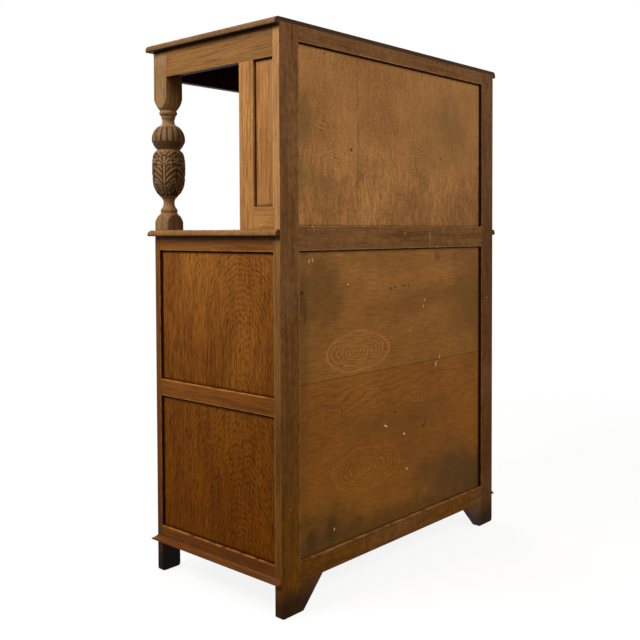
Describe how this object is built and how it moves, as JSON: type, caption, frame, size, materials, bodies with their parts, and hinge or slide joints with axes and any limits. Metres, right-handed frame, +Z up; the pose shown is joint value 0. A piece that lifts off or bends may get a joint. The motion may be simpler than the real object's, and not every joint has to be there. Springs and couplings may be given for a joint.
{
  "type": "court cupboard",
  "caption": "Joined oak court cupboard: two-door lower stage, canopied upper stage on cup-and-cover pillars with a splay-fronted one-door cupboard.",
  "frame": {"origin": "on the floor, at the centre of the outline's bounding box", "axes": "+Z up, +X to the right as seen from the front, -Y towards the front"},
  "size_m": [0.948, 0.477, 1.372],
  "materials": {
    "honey_oak": "satin waxed",
    "dark_oak": "dull stained",
    "carved_oak": "waxed, dark in the carving",
    "back_plywood": "matt stained plywood",
    "figured_veneer": "matt rippled veneer",
    "inner_deal": "bare softwood",
    "aged_brass": "aged"
  },
  "bodies": {
    "carcase": {"back_bottom_rail": "dark_oak", "back_lower_panel": "back_plywood", "back_middle_rail": "dark_oak", "back_top_rail": "dark_oak", "back_upper_panel": "figured_veneer", "base_moulding_front": "honey_oak", "base_moulding_sides": "honey_oak", "bottom_board": "inner_deal", "bottom_board_bearers": "inner_deal", "door_stops": "inner_deal", "frieze_glue_blocks": "inner_deal", "front_bottom_rail": "honey_oak", "front_frieze": "carved_oak", "front_stile_left": "honey_oak", "front_stile_right": "honey_oak", "front_top_rail": "honey_oak", "hinge_jamb_leaves": "aged_brass", "hinge_pins": "aged_brass", "middle_board": "honey_oak", "pillar_left": "carved_oak", "pillar_right": "carved_oak", "rear_foot_brackets": "dark_oak", "rear_stile_left": "dark_oak", "rear_stile_right": "dark_oak", "return_panels": "honey_oak", "return_rails": "honey_oak", "return_stiles": "honey_oak", "shelf": "inner_deal", "shelf_bearers": "inner_deal", "side_friezes": "honey_oak", "side_panels": "honey_oak", "side_rails": "honey_oak", "splay_panels": "honey_oak", "splay_rails": "honey_oak", "splay_stiles": "honey_oak", "top_board": "honey_oak", "upper_head": "honey_oak", "upper_jambs": "honey_oak", "upper_sill": "honey_oak"},
    "door_right": {"lower_door_panels_right": "honey_oak", "lower_door_rails_right": "honey_oak", "lower_door_stiles_right": "honey_oak", "lower_handle_plate_right": "aged_brass", "lower_hinge_door_leaves_right": "aged_brass"},
    "door_left": {"lower_door_panels_left": "honey_oak", "lower_door_rails_left": "honey_oak", "lower_door_stiles_left": "honey_oak", "lower_handle_plate_left": "aged_brass", "lower_hinge_door_leaves_left": "aged_brass"},
    "door_upper": {"upper_door_panels": "honey_oak", "upper_door_rails": "honey_oak", "upper_door_stiles": "honey_oak", "upper_handle_plate": "aged_brass", "upper_hinge_door_leaves": "aged_brass"},
    "drop_right": {"lower_handle_drop_right": "aged_brass"},
    "drop_left": {"lower_handle_drop_left": "aged_brass"},
    "drop_upper": {"upper_handle_drop": "aged_brass"}
  },
  "joints": [
    {"name": "lower_right_door_hinge", "type": "hinge", "parent": "carcase", "child": "door_right", "pos_m": [0.398, -0.2227, 0.482], "axis": [0, 0, 1], "range_deg": [0, 110]},
    {"name": "lower_left_door_hinge", "type": "hinge", "parent": "carcase", "child": "door_left", "pos_m": [-0.398, -0.2227, 0.482], "axis": [0, 0, -1], "range_deg": [0, 110]},
    {"name": "upper_door_hinge", "type": "hinge", "parent": "carcase", "child": "door_upper", "pos_m": [-0.193, -0.1277, 1.1], "axis": [0, 0, -1], "range_deg": [0, 110]},
    {"name": "lower_right_drop_swing", "type": "hinge", "parent": "door_right", "child": "drop_right", "pos_m": [0.026, -0.2281, 0.52], "axis": [-1, 0, 0], "range_deg": [0, 100]},
    {"name": "lower_left_drop_swing", "type": "hinge", "parent": "door_left", "child": "drop_left", "pos_m": [-0.026, -0.2281, 0.52], "axis": [-1, 0, 0], "range_deg": [0, 100]},
    {"name": "upper_drop_swing", "type": "hinge", "parent": "door_upper", "child": "drop_upper", "pos_m": [0.17, -0.1331, 1.1015], "axis": [-1, 0, 0], "range_deg": [0, 100]}
  ]
}
